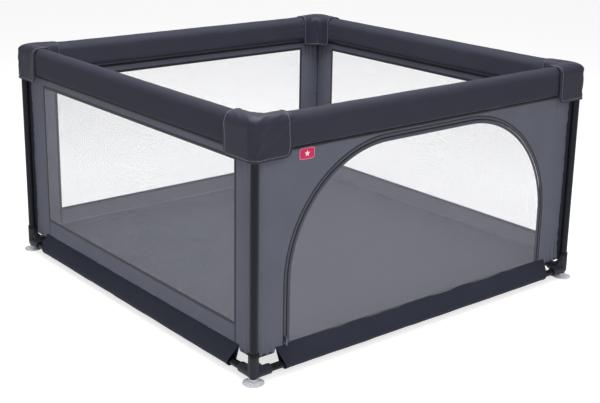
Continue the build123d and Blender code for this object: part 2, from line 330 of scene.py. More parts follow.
def woven(name, colour, pitch=0.7 * MM, roughness=0.62, sheen=0.15, gloss=0.35, relief=0.35):
    """Coated polyester cloth: a fine weave with painted shade in its valleys, slightly uneven dye and a
    soft sheen.
    """
    finish = Finish(name)
    height = finish.weave(pitch)
    place = finish.place()
    cloudy = finish.noise(place, 9.0, 3.0)
    slub = finish.noise(place, 420.0, 1.0)
    dye = finish.blended(finish.spread(cloudy, 0.3, 0.7, 0.0, 1.0),
                         shaded(colour, 0.94), shaded(colour, 1.06))
    thread = finish.math("ADD", finish.math("MULTIPLY", height, 0.6), finish.math("MULTIPLY", slub, 0.6))
    # Painted shade: weave valleys are coloured darker, as the recesses between threads would be shaded,
    # mixed with the slub's random tone.
    valley_shade_and_slub = finish.math("MULTIPLY", finish.spread(thread, 0.2, 0.9, 1.0, 0.0), 0.3)
    finish.surface(Base_Color=finish.blended(valley_shade_and_slub, dye, shaded(colour, 0.62)),
                   Roughness=finish.spread(cloudy, 0.2, 0.8, roughness - 0.05, roughness + 0.05),
                   Sheen_Weight=sheen, Sheen_Roughness=0.45, Specular_IOR_Level=gloss)
    finish.raised(thread, relief, 0.12 * MM)
    return finish.material


def netting(name, colour, pitch=1.9 * MM, strand=0.25 * MM):
    """Warp-knit net: two sets of fine slanted strands, knotted where they cross, open between."""
    finish = Finish(name)
    split = finish.node("ShaderNodeSeparateXYZ", Vector=finish.place("UV"))
    x, y = split.outputs["X"], split.outputs["Y"]
    open_share = None
    for slanted in (finish.math("ADD", x, finish.math("MULTIPLY", y, 0.62)),
                    finish.math("SUBTRACT", x, finish.math("MULTIPLY", y, 0.62))):
        cell = finish.math("FRACT", finish.math("ADD", finish.math("MULTIPLY", slanted, 1 / pitch), 500.0))
        away = finish.math("ABSOLUTE", finish.math("SUBTRACT", cell, 0.5))
        half = strand / pitch / 2
        gap = finish.spread(away, half * 0.6, half * 1.4, 0.0, 1.0)
        open_share = gap if open_share is None else finish.math("MULTIPLY", open_share, gap)
    uneven = finish.noise(finish.place(), 60.0)
    finish.surface(Base_Color=finish.blended(uneven, shaded(colour, 0.92), shaded(colour, 1.08)),
                   Roughness=0.7, Specular_IOR_Level=0.2,
                   Alpha=finish.math("SUBTRACT", 1.0, open_share))
    return finish.material


def ribbed_tape(name, colour, pitch=1.1 * MM):
    """Ribbed tape: fine slanted ribs with a matt finish, their crests painted lighter and their troughs
    darker as light and shade.
    """
    finish = Finish(name)
    split = finish.node("ShaderNodeSeparateXYZ", Vector=finish.place())
    across = finish.math("MULTIPLY", split.outputs["X"], 2 * math.pi / pitch)
    up = finish.math("MULTIPLY", split.outputs["Z"], 2 * math.pi / pitch)
    ribs = finish.math("SINE", finish.math("ADD", across, up))
    fuzz = finish.noise(finish.place(), 700.0)
    # Painted light and shade on the ribs: crests lighter, troughs darker, mixed with a random fuzz.
    rib_shade_and_fuzz = finish.spread(finish.math("ADD", ribs, fuzz), -1.0, 2.0, 0.0, 1.0)
    finish.surface(Base_Color=finish.blended(rib_shade_and_fuzz, shaded(colour, 0.7), shaded(colour, 1.15)),
                   Roughness=0.7, Sheen_Weight=0.2, Sheen_Roughness=0.5, Specular_IOR_Level=0.3)
    finish.raised(ribs, 0.4, 0.15 * MM)
    return finish.material


def powder_coat(name, colour, roughness=0.35):
    """Powder-coated steel tube: a fine orange peel and a soft gloss."""
    finish = Finish(name)
    place = finish.place()
    peel = finish.noise(place, 900.0, 2.0)
    haze = finish.noise(place, 14.0, 3.0)
    finish.surface(Base_Color=finish.blended(haze, shaded(colour, 0.92), shaded(colour, 1.08)),
                   Roughness=finish.spread(haze, 0.3, 0.7, roughness - 0.04, roughness + 0.05),
                   Specular_IOR_Level=0.18)
    finish.raised(peel, 0.12, 0.1 * MM)
    return finish.material


def moulded(name, colour, roughness=0.48, grain=0.25):
    """Injection-moulded plastic with a fine spark-eroded texture."""
    finish = Finish(name)
    place = finish.place()
    spark = finish.noise(place, 1300.0, 3.0)
    flow = finish.noise(place, 30.0, 2.0)
    finish.surface(Base_Color=finish.blended(flow, shaded(colour, 0.93), shaded(colour, 1.07)),
                   Roughness=finish.spread(spark, 0.3, 0.7, roughness - 0.06, roughness + 0.06),
                   Specular_IOR_Level=0.25)
    finish.raised(spark, grain, 0.08 * MM)
    return finish.material


def clear_rubber(name, colour):
    """Milky soft rubber that lets some light through."""
    finish = Finish(name)
    cloudy = finish.noise(finish.place(), 90.0, 2.0)
    finish.surface(Base_Color=finish.blended(cloudy, shaded(colour, 0.95), shaded(colour, 1.05)),
                   Roughness=finish.spread(cloudy, 0.3, 0.7, 0.22, 0.3), Specular_IOR_Level=0.5,
                   Transmission_Weight=0.35, IOR=1.42)
    finish.raised(cloudy, 0.1, 0.2 * MM)
    return finish.material


def brushed_metal(name, colour):
    """Dark plated zinc with fine rubbed marks."""
    finish = Finish(name)
    marks = finish.noise(finish.place(), 1500.0, 2.0)
    finish.surface(Base_Color=finish.blended(marks, shaded(colour, 0.8), shaded(colour, 1.2)),
                   Metallic=0.9, Roughness=finish.spread(marks, 0.3, 0.7, 0.28, 0.42))
    finish.raised(marks, 0.1, 0.05 * MM)
    return finish.material


PAD_COVER = woven("rail_cover", tone(50, 51, 61), roughness=0.65, sheen=0.0, gloss=0.05)
CAP_COVER = woven("cap_cover", tone(45, 46, 57), roughness=0.45, sheen=0.0, gloss=0.1)
WALL_CLOTH = woven("wall_cloth", tone(93, 95, 107), roughness=0.75, sheen=0.02, gloss=0.04)
HEM_CLOTH = woven("hem_cloth", tone(44, 46, 57), roughness=0.6, sheen=0.0, gloss=0.05)
FLOOR_CLOTH = woven("floor_cloth", tone(51, 53, 62), pitch=0.9 * MM, sheen=0.04, gloss=0.08)
# Painted shade: the corner seams are coloured dark, like the shaded cloth beside the posts.
SHADED_SEAM_CLOTH = woven("shaded_seam_cloth", tone(30, 32, 42), sheen=0.0, gloss=0.12)
NET = netting("fine_net", tone(170, 171, 180))
PIPING_TAPE = ribbed_tape("piping_tape", tone(28, 30, 40))
# Near-black: painted shadow under the rails, and the tapes at the feet of the corners.
SHADOW_AND_FOOT_TAPE = ribbed_tape("shadow_and_foot_tape", tone(14, 15, 22))
ZIP_TAPE = ribbed_tape("zip_tape", tone(70, 72, 84), pitch=0.9 * MM)
DOOR_TAPE = ribbed_tape("door_tape", tone(62, 64, 77), pitch=0.9 * MM)
COIL_NYLON = moulded("coil_nylon", tone(22, 24, 32), roughness=0.4)
POST_COAT = powder_coat("post_coat", tone(18, 20, 28))
RAIL_COAT = powder_coat("rail_coat", tone(10, 11, 15))
CONNECTOR_PLASTIC = moulded("connector_plastic", tone(31, 33, 42))
COLLAR_RUBBER = moulded("collar_rubber", tone(8, 8, 10), roughness=0.6)
CUP_RUBBER = clear_rubber("cup_rubber", tone(226, 226, 233))
SLIDER_METAL = brushed_metal("slider_metal", tone(92, 94, 104))
LABEL_CLOTH = woven("label_cloth", tone(190, 26, 80), pitch=0.4 * MM)
LABEL_EDGE = woven("label_edge", tone(226, 120, 156), pitch=0.4 * MM)
LABEL_THREAD = woven("label_thread", tone(244, 214, 224), pitch=0.4 * MM)
# A pale cord along each cap's stitched line: its light colour is a painted highlight on the seam edge.
CAP_SEAM_HIGHLIGHT = woven("cap_seam_highlight", tone(104, 106, 118), pitch=0.4 * MM)


# ---- padded pieces ----
def swollen(piece, pinned, limit, pressure=4.0):
    """Swells a sewn cover with its filling: pinned points stay, others move no further than a limit."""
    rest = [vertex.co.copy() for vertex in piece.data.vertices]
    held = piece.vertex_groups.new(name="held")
    for vertex in piece.data.vertices:
        held.add([vertex.index], pinned(vertex.co), "REPLACE")
    cloth = piece.modifiers.new("Filling", "CLOTH")
    cloth.settings.quality = 6
    cloth.settings.mass = 0.2
    cloth.settings.tension_stiffness = 18
    cloth.settings.compression_stiffness = 12
    cloth.settings.bending_stiffness = 0.4
    cloth.settings.shrink_min = -0.004
    cloth.settings.use_pressure = True
    cloth.settings.uniform_pressure_force = pressure
    cloth.settings.vertex_group_mass = "held"
    cloth.settings.effector_weights.gravity = 0
    cloth.collision_settings.use_collision = False
    cloth.point_cache.frame_start = 1
    cloth.point_cache.frame_end = 20
    for step in range(1, 21):
        bpy.context.scene.frame_set(step)
    select(piece)
    bpy.ops.object.modifier_apply(modifier=cloth.name)
    bpy.context.scene.frame_set(1)
    for vertex, start in zip(piece.data.vertices, rest):
        moved = vertex.co - start
        most = limit(start)
        if moved.length > most:
            vertex.co = start + moved * (most / moved.length)
    piece.vertex_groups.clear()


def rail_pads():
    """The foam-filled covers of the four top rails: modelled once, swollen and copied."""
    width = PAD_HIGH.y - PAD_LOW.y
    height = PAD_HIGH.z - PAD_LOW.z
    length = PAD_HIGH.x - PAD_LOW.x
    start_y = (PAD_LOW.y + PAD_HIGH.y) / 2
    edge, bend = QUARTER * PAD_EDGE, QUARTER * PAD_CORNER
    under, over = width - 2 * PAD_EDGE, width - 2 * PAD_CORNER
    side = height - PAD_EDGE - PAD_CORNER
    legs = [(under / 2, None), (edge, PAD_EDGE), (side, None), (bend, PAD_CORNER), (over, None),
            (bend, PAD_CORNER), (side, None), (edge, PAD_EDGE), (under / 2, None)]
    girth = sum(length for length, _ in legs)

    def place(along, around):
        x = mix(PAD_LOW.x, PAD_HIGH.x, along)
        y, z, heading = walk(around * girth, legs, start_y, PAD_LOW.z, math.pi)
        away = heading + QUARTER
        swell = ripple((x, y, z), 0.09, 0.8 * MM) + ripple((x, 0, z), 0.03, 0.3 * MM)
        drawn = math.exp(-(0.49 - abs(x)) / 0.03) if abs(x) < 0.49 else 1.0
        swell += drawn * 0.9 * MM * math.cos(z * 2 * math.pi / 0.021 + 30 * x)
        return (x, y + swell * math.cos(away), z + swell * math.sin(away))

    pad = laid_cloth("rail_pad", 116, 44, place, threads=(length, girth))
    edit_all(pad)
    bpy.ops.mesh.remove_doubles(threshold=0.2 * MM)
    bpy.ops.object.mode_set(mode="OBJECT")

    def held(point):
        ends = abs(point.x) > PAD_HIGH.x - 10 * MM
        return 1.0 if ends or point.z < PAD_LOW.z + 5 * MM else 0.0

    swollen(pad, held, lambda p: mix(1.6, 0.4, ease((abs(p.x) - 0.47) / 0.03)) * MM)
    finish_with(pad, "SUBSURF", levels=1, render_levels=1)
    edit_all(pad)
    close_up(0.01 * MM)
    smoothed(pad, 60)
    for side, piece in turned_copies(pad, "rail_pad", SIDES).items():
        dressed(piece, "pen", PAD_COVER)
        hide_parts(f"rail_sleeve_{side}", f"rail_foam_{side}")


def corner_caps():
    """The padded hoods over the top corners: modelled once, swollen and copied."""
    outside = CAP_LOW.x + POST - 0.5 * MM
    inside = CAP_INSIDE
    reach = CAP_HIGH.x + POST
    low, high = CAP_LOW.z, CAP_HIGH.z - 2 * MM
    width = inside - outside
    shoulder = QUARTER * CAP_SHOULDER
    rise = high - low - CAP_SHOULDER
    profile = [(rise, None), (shoulder, CAP_SHOULDER), (width - 2 * CAP_SHOULDER, None),
               (shoulder, CAP_SHOULDER), (rise, None)]
    girth = sum(length for length, _ in profile)
    hem_rows, arm_columns, bend_columns = 10, 30, 14
    columns = 2 * arm_columns + bend_columns
    middle_rows = 44
    rows = middle_rows + 2 * hem_rows

    def down_profile(share):
        """Distance along the profile, with closer rows at both hems."""
        row = round(share * rows)
        if row <= hem_rows:
            return FLAP_CORNER * (1 - math.cos(QUARTER * row / hem_rows))
        if row >= rows - hem_rows:
            return girth - FLAP_CORNER * (1 - math.cos(QUARTER * (rows - row) / hem_rows))
        return mix(FLAP_CORNER, girth - FLAP_CORNER, (row - hem_rows) / middle_rows)

    def place(along, around):
        gone = down_profile(around)
        d, z, heading = walk(gone, profile, outside, low, QUARTER)
        above = z - low
        inward = (d - outside) / width
        end = reach
        if above < FLAP_CORNER:
            cut = FLAP_CORNER - math.sqrt(max(FLAP_CORNER**2 - (FLAP_CORNER - above) ** 2, 0))
            end -= cut * (1 - inward / 2)
        radius = mix(20 * MM, 38 * MM, inward)
        column = round((1 - along) * columns)
        straight = end - d - radius
        bend = QUARTER * radius
        if column <= arm_columns:
            run = straight * ease_in(column / arm_columns)
        elif column >= columns - arm_columns:
            run = 2 * straight + bend - straight * ease_in((columns - column) / arm_columns)
        else:
            run = straight + bend * (column - arm_columns) / bend_columns
        path = [(straight, None), (bend, radius), (straight, None)]
        from_corner = run - straight - bend / 2
        edge = min(run, 2 * straight + bend - run)
        swell = hem_relief(min(above, edge)) - CAP_TAPER * (1 - inward) * ease(abs(from_corner) / (85 * MM))
        outer = 1 - ease((gone - rise) / shoulder)
        swell += outer * gathers(from_corner, above - 4 * MM, 26 * MM, 2.6 * MM)
        swell += outer * soft_folds(from_corner, above)
        swell += outer * 0.8 * MM * math.sin(math.pi * min(above / rise, 1))
        inner_top = girth - gone - rise - shoulder / 2
        swell += gathers(from_corner, inner_top, 22 * MM, 1.8 * MM) * (gone > girth / 2)
        swell += ripple((from_corner, gone, 7), 0.03, 0.9 * MM)
        away = heading + QUARTER
        x, y, _ = walk(run, path, end, d + swell * math.cos(away), math.pi)
        return (x - POST, y - POST, z + swell * math.sin(away))

    cap = laid_cloth("corner_cap", columns, rows, place, threads=(2 * reach + 35 * MM, girth))

    def held(point):
        arm = max(point.x, point.y) + POST
        return 1.0 if point.z < low + 3 * MM or arm > reach - 3 * MM else 0.0

    swollen(cap, held, lambda p: 1.6 * MM)
    far_column, far_row = columns - STITCHED, rows - STITCHED
    corners = [(STITCHED, STITCHED), (far_column, STITCHED), (far_column, far_row), (STITCHED, far_row)]
    # The light cord along the stitched line is a painted highlight on the seam edge.
    seam_highlight = edge_cord("cap_seam_highlight", cap, columns, corners, 0.55 * MM)
    finish_with(cap, "SOLIDIFY", thickness=CAP_PLY, offset=-1, use_even_offset=True)
    finish_with(cap, "SUBSURF", levels=1, render_levels=1)
    smoothed(cap)
    for corner, piece in turned_copies(cap, "corner_cover", CORNERS).items():
        dressed(piece, "pen", CAP_COVER)
        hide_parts(f"corner_cap_{corner}")
    for piece in turned_copies(seam_highlight, "corner_seam_highlight", CORNERS).values():
        dressed(piece, "pen", CAP_SEAM_HIGHLIGHT)


def edge_cord(name, cloth, columns, corners, radius):
    """A fine cord laid on a grid cloth, along straight runs of its points between (column, row) corners."""
    stops = []
    for (column, row), (next_column, next_row) in zip(corners, corners[1:] + corners[:1]):
        steps = max(abs(next_column - column), abs(next_row - row))
        for step in range(steps):
            across = column + (next_column - column) * step // steps
            up = row + (next_row - row) * step // steps
            vertex = cloth.data.vertices[up * (columns + 1) + across]
            stops.append(vertex.co + vertex.normal * radius / 2)
    clear_selection()
    bpy.ops.mesh.primitive_circle_add(vertices=len(stops), radius=1, fill_type="NOTHING")
    cord = named(name)
    for vertex, stop in zip(cord.data.vertices, stops):
        vertex.co = stop
    select(cord)
    bpy.ops.object.convert(target="CURVE")
    cord.data.bevel_depth = radius
    cord.data.bevel_resolution = 1
    bpy.ops.object.convert(target="MESH")
    return smoothed(bpy.context.object)


def soft_folds(across, up):
    """Slack diagonal folds that fall from the shoulders of a cap towards its lowest point."""
    slant = up - 0.8 * abs(across)
    return ripple((slant / 0.022, across / 0.09, 11), 1, 2.2 * MM) * ease((up - 10 * MM) / (20 * MM))


def ease_in(share):
    """Closer steps at the start than at the end."""
    return share ** 1.25


def hem_relief(edge):
    """The rolled hem, and the groove of its stitched line."""
    rolled = 0.5 * MM * (1 - ease((edge - 4 * MM) / (2 * MM)))
    groove = -0.7 * MM * math.exp(-((edge - HEM_STITCH) / (1.2 * MM)) ** 2)
    return rolled + groove


def gathers(across, up, spread, height):
    """Small folds that run out from a point where the cloth is drawn together."""
    away = math.hypot(across, up)
    fan = math.cos(6 * math.atan2(up, across) + 0.8)
    return height * fan * math.exp(-((away / spread) ** 2)) * ease(away / (0.35 * spread))


# ---- walls ----
def pucker(x, z):
    """How far the stretched wall cloth stands out from its plane."""
    outer = ease((abs(x) - WINDOW_HALF - 5 * MM) / (25 * MM))
    low = math.exp(-abs(z - WALL_BOTTOM) / (30 * MM))
    high = math.exp(-(WALL_TOP - 20 * MM - z) / (38 * MM)) if z < WALL_TOP - 20 * MM else 1.0
    folds = math.sin(abs(x) * 2 * math.pi / (19 * MM) + 2.5 * noise.noise(Vector((x, z, 0)) * 30))
    seam = math.exp(-(WALL_END - abs(x)) / (22 * MM)) * ripple((x / 0.08, z / 0.014, 4), 1, 1.6 * MM)
    return outer * ((low + 0.9 * high) * 2.2 * MM * folds + seam + ripple((x, z, 2), 0.07, 1.1 * MM))


def hang(x):
    """How far the wall cloth hangs below the seam, past the end of the bottom sleeve."""
    return LEG_DROP * ease((abs(x) - SLEEVE_END + 4 * MM) / (10 * MM)) * (1 - 2 * (abs(x) - SLEEVE_END))


def wall_cloth(name, x_low, x_high, z_low, z_high, columns, rows):
    """A rectangle of wall cloth in the front wall's plane, with its thickness."""
    def place(across, up):
        x, z = mix(x_low, x_high, across), mix(z_low, z_high, up)
        return (x, WALL_Y - pucker(x, z), z - hang(x) * (1 - up))

    piece = laid_cloth(name, columns, rows, place)
    finish_with(piece, "SOLIDIFY", thickness=CLOTH, offset=0)
    return smoothed(piece, 50)


def straight_tape(name, start, end, width, thickness):
    """A rounded tape in the front wall's plane, from one (x, z) to another."""
    run = Vector((end[0] - start[0], 0, end[1] - start[1]))
    middle = Vector(((start[0] + end[0]) / 2, WALL_Y, (start[1] + end[1]) / 2))
    clear_selection()
    bpy.ops.mesh.primitive_cylinder_add(vertices=12, radius=0.5, depth=1)
    piece = named(name)
    turn = Matrix.Rotation(math.atan2(run.x, run.z), 4, "Y")
    size = Matrix.Diagonal((width, thickness, run.length, 1))
    piece.data.transform(Matrix.Translation(middle) @ turn @ size)
    return smoothed(piece, 50)


def frame_strip(name, half_x, z_low, z_high, width, thickness, corner=4.8 * MM):
    """A closed run of rounded tape round a window: a section extruded and spun round its corners."""
    clear_selection()
    bpy.ops.mesh.primitive_circle_add(vertices=12, radius=0.5, fill_type="NOTHING",
                                      location=(0, 0, 0), rotation=(0, 0, 0))
    piece = named(name)
    for vertex in piece.data.vertices:
        vertex.co = Vector((-half_x + vertex.co.x * width, WALL_Y + vertex.co.y * thickness,
                            z_low + corner))
    edit_all(piece)
    runs = [((0, 0, z_high - z_low - 2 * corner), (-half_x + corner, WALL_Y, z_high - corner)),
            ((2 * half_x - 2 * corner, 0, 0), (half_x - corner, WALL_Y, z_high - corner)),
            ((0, 0, z_low - z_high + 2 * corner), (half_x - corner, WALL_Y, z_low + corner)),
            ((2 * corner - 2 * half_x, 0, 0), (-half_x + corner, WALL_Y, z_low + corner))]
    for move, centre in runs:
        bpy.ops.mesh.extrude_region_move(TRANSFORM_OT_translate={"value": move})
        bpy.ops.mesh.spin(steps=4, angle=-QUARTER, center=centre, axis=(0, 1, 0))
    close_up(0.05 * MM)
    return smoothed(piece, 50)


def close_up(gap):
    """Merges doubled points, closes open ends and turns all faces outwards, in edit mode."""
    bpy.ops.mesh.select_all(action="SELECT")
    bpy.ops.mesh.remove_doubles(threshold=gap)
    bpy.ops.mesh.select_all(action="DESELECT")
    bpy.ops.mesh.select_non_manifold()
    bpy.ops.mesh.fill_holes(sides=0)
    bpy.ops.mesh.select_all(action="SELECT")
    bpy.ops.mesh.normals_make_consistent(inside=False)
    bpy.ops.object.mode_set(mode="OBJECT")


def arch_strip(name, offset, bottom, width, thickness, y, sides=12, steps=28):
    """A rounded tape along the arch, its middle at an offset inwards from the panel's edge."""
    half = ARCH_HALF - offset
    shoulder = ARCH_TOP - ARCH_CORNER
    flat = ARCH_HALF - ARCH_CORNER
    clear_selection()
    bpy.ops.mesh.primitive_circle_add(vertices=sides, radius=0.5, fill_type="NOTHING",
                                      location=(0, 0, 0), rotation=(0, 0, 0))
    piece = named(name)
    for vertex in piece.data.vertices:
        vertex.co = Vector((-half + vertex.co.x * width, y + vertex.co.y * thickness, bottom))
    edit_all(piece)
    bpy.ops.mesh.extrude_region_move(TRANSFORM_OT_translate={"value": (0, 0, shoulder - bottom)})
    bpy.ops.mesh.spin(steps=steps, angle=-QUARTER, center=(-flat, y, shoulder), axis=(0, 1, 0))
    bpy.ops.mesh.extrude_region_move(TRANSFORM_OT_translate={"value": (2 * flat, 0, 0)})
    bpy.ops.mesh.spin(steps=steps, angle=-QUARTER, center=(flat, y, shoulder), axis=(0, 1, 0))
    bpy.ops.mesh.extrude_region_move(TRANSFORM_OT_translate={"value": (0, 0, bottom - shoulder)})
    close_up(0.02 * MM)
    return smoothed(piece, 50)


def window_walls():
    """The left, back and right walls: side strips, band below, strip above, piping and net."""
    turns = {side: SIDES[side] for side in ("left", "back", "right")}
    top = WALL_TOP + TUCK
    for end, sign in (("a", -1), ("b", 1)):
        x_low, x_high = sorted((sign * WINDOW_HALF, sign * WALL_END))
        strip = wall_cloth("strip", x_low, x_high, WALL_BOTTOM, top, 24, 110)
        for side, piece in turned_copies(strip, f"wall_strip_{end}", turns).items():
            dressed(piece, "pen", WALL_CLOTH)
            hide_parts(f"wall_fabric_{side}")
    for base, z_low, z_high in (("wall_band", WALL_BOTTOM, WINDOW_BOTTOM), ("wall_top", WINDOW_TOP, top)):
        band = wall_cloth("band", -WINDOW_HALF, WINDOW_HALF, z_low, z_high, 120, 8)
        for side, piece in turned_copies(band, base, turns).items():
            dressed(piece, "pen", WALL_CLOTH)
            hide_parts(f"wall_fabric_{side}")
    piping = frame_strip("piping", WINDOW_HALF, WINDOW_BOTTOM - 2 * MM, WINDOW_TOP, PIPING, 2.6 * MM)
    for side, piece in turned_copies(piping, "window_piping", turns).items():
        dressed(piece, "pen", PIPING_TAPE)
        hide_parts(f"window_binding_{side}")
    for end, sign in (("a", -1), ("b", 1)):
        leg = straight_tape("leg", (sign * WINDOW_HALF, WALL_BOTTOM + 1 * MM),
                            (sign * WINDOW_HALF, WINDOW_BOTTOM), PIPING * 0.8, 2.4 * MM)
        for piece in turned_copies(leg, f"band_piping_{end}", turns).values():
            dressed(piece, "pen", PIPING_TAPE)

    def place(across, up):
        x = mix(-WINDOW_HALF, WINDOW_HALF, across)
        z = mix(WINDOW_BOTTOM, WINDOW_TOP, up)
        edge = min(WINDOW_HALF - abs(x), z - WINDOW_BOTTOM, WINDOW_TOP - z)
        return (x, WALL_Y - ripple((x, z, 5), 0.2, 1.5 * MM) * ease(edge / 0.05), z)

    net = laid_cloth("net", 66, 28, place)
    smoothed(net)
    for side, piece in turned_copies(net, "window_net", turns).items():
        dressed(piece, "pen", NET)
        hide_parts(f"window_mesh_{side}")


def shadow_line_and_foot_tapes():
    """Near-black tapes on all four walls: along the top, a painted shadow line under the rail, and at the
    foot of each corner.
    """
    half = WALL_END - 4 * MM
    height = PAD_LOW.z - 12 * MM
    # This tape stands in for the rail's shadow on the wall: a near-black strip of painted shadow.
    top = straight_tape("top", (-half, height), (half, height), 9 * MM, 5 * MM)
    for piece in turned_copies(top, "under_rail_shadow", SIDES).values():
        dressed(piece, "pen", SHADOW_AND_FOOT_TAPE)
    foot_z = WALL_BOTTOM - LEG_DROP + 1.5 * MM
    for end, sign in (("a", -1), ("b", 1)):
        foot = straight_tape("foot", (sign * (SLEEVE_END + 10 * MM), foot_z), (sign * half, foot_z),
                             5 * MM, 2.6 * MM)
        for piece in turned_copies(foot, f"foot_tape_{end}", SIDES).values():
            dressed(piece, "pen", SHADOW_AND_FOOT_TAPE)


def corner_seams():
    """The doubled seam at each corner, which joins two walls to the post, its cloth painted dark as the
    shade beside the post.
    """
    depth = SEAM_DEPTH
    low, high = WALL_BOTTOM - LEG_DROP, WALL_TOP - 5 * MM
    start = WALL_END - 1.5 * MM

    def place(across, up):
        z = mix(low, high, up)
        out = start + across * depth / math.sqrt(2)
        wave = ripple((across, z, 8), 0.05, 0.6 * MM) * math.sin(math.pi * across)
        return (-out + wave, -out - wave, z)

    seam = laid_cloth("seam", 4, 90, place, threads=(depth, high - low))
    finish_with(seam, "SOLIDIFY", thickness=2 * CLOTH, offset=0)
    smoothed(seam, 60)
    for corner, piece in turned_copies(seam, "corner_seam", CORNERS).items():
        dressed(piece, "pen", SHADED_SEAM_CLOTH)


def arch_edge(z, offset):
    """Half the arch's width at a height, moved inwards by an offset."""
    shoulder = ARCH_TOP - ARCH_CORNER
    radius = ARCH_CORNER - offset
    if z <= shoulder:
        return ARCH_HALF - offset
    return ARCH_HALF - ARCH_CORNER + math.sqrt(max(radius**2 - (z - shoulder) ** 2, 0))


def arch_heights(bottom, offset, straight_rows, bend_rows):
    """Heights of the rows of cloth beside the arch: even, then by equal turns of the bend."""
    shoulder = ARCH_TOP - ARCH_CORNER
    radius = ARCH_CORNER - offset
    heights = [mix(bottom, shoulder, row / straight_rows) for row in range(straight_rows)]
    heights += [shoulder + radius * math.sin(QUARTER * row / bend_rows) for row in range(bend_rows + 1)]
    return heights


def front_wall():
    """The cloth round the door: two legs beside the arch and the strip above it."""
    flat = ARCH_HALF - ARCH_CORNER
    heights = arch_heights(WALL_BOTTOM, 0.0, 40, 48)
    top = WALL_TOP + TUCK
    heights += [mix(ARCH_TOP, top, step / 4) for step in (1, 2, 3, 4)]
    rows = len(heights) - 1
    for end, sign in (("left", -1), ("right", 1)):
        def place(across, up):
            z = heights[round(up * rows)]
            share = across if sign > 0 else 1 - across
            edge = arch_edge(z, 0.0) if z <= ARCH_TOP else flat
            x = mix(edge, WALL_END, share)
            near = ease((x - edge) / (35 * MM))
            away = pucker(max(x, WINDOW_HALF), z) * near + ripple((sign * x, z, 1), 0.1, 0.9 * MM) * near
            return (sign * x, WALL_Y - away, z - hang(x) * (1 - up))

        leg = laid_cloth(f"front_cloth_{end}", 44, rows, place)
        finish_with(leg, "SOLIDIFY", thickness=CLOTH, offset=0)
        smoothed(leg, 50)
        dressed(leg, "pen", WALL_CLOTH)
        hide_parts("front_panel")
    over = wall_cloth("front_cloth_top", -flat, flat, ARCH_TOP, top, 44, 4)
    dressed(over, "pen", WALL_CLOTH)
    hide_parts("front_panel")


def door():
    """The net door, the zip's two tapes and the panel's piped edge."""
    low = WALL_BOTTOM
    piping = arch_strip("arch_piping", 0.3 * MM, low, 5.0 * MM, 3.2 * MM, WALL_Y)
    dressed(piping, "pen", PIPING_TAPE)
    tape = arch_strip("panel_tape", 5.5 * MM, low, 8.6 * MM, 1.5 * MM, WALL_Y)
    dressed(tape, "pen", ZIP_TAPE)
    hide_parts("zip_tape_panel")
    coil = zip_coil(COIL_LINE, low)
    dressed(coil, "pen", COIL_NYLON)
    door_tape = arch_strip("door_tape", DOOR_TAPE_LINE, DOOR_LOW.z, 9.2 * MM, 1.5 * MM, WALL_Y)
    dressed(door_tape, "door", DOOR_TAPE)
    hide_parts("zip_tape_door")

    offset = DOOR_NET_LINE
    heights = arch_heights(DOOR_LOW.z, offset, 24, 36)
    rows = len(heights) - 1

    def place(across, up):
        z = heights[round(up * rows)]
        half = arch_edge(z, offset)
        x = mix(-half, half, across)
        edge = min(half - abs(x), z - DOOR_LOW.z, ARCH_TOP - z)
        return (x, WALL_Y - ripple((x, z, 9), 0.2, 1.5 * MM) * ease(edge / 0.05), z)

    net = laid_cloth("door_net", 72, rows, place)
    smoothed(net)
    dressed(net, "door", NET)
    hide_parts("door_mesh")


def zip_coil(offset, bottom):
    """The nylon coil along the arch: a tube that swells at each of its turns."""
    half, radius = ARCH_HALF - offset, ARCH_CORNER - offset
    rise = ARCH_TOP - ARCH_CORNER - bottom
    bend = QUARTER * radius
    legs = [(rise, None), (bend, radius), (2 * (half - radius), None), (bend, radius), (rise, None)]
    length = sum(run for run, _ in legs)
    pitch = 2.6 * MM

    def place(around, along):
        x, z, heading = walk(along * length, legs, -half, bottom, QUARTER)
        thick = (1.25 + 0.3 * math.cos(2 * math.pi * along * length / pitch)) * MM
        sideways = 1.25 * thick * math.cos(4 * QUARTER * around)
        out = thick * math.sin(4 * QUARTER * around)
        return (x - sideways * math.sin(heading), WALL_Y - 1.2 * MM - out, z + sideways * math.cos(heading))

    coil = laid_cloth("zip_coil", 8, 1950, place)
    edit_all(coil)
    close_up(0.02 * MM)
    return smoothed(coil, 70)


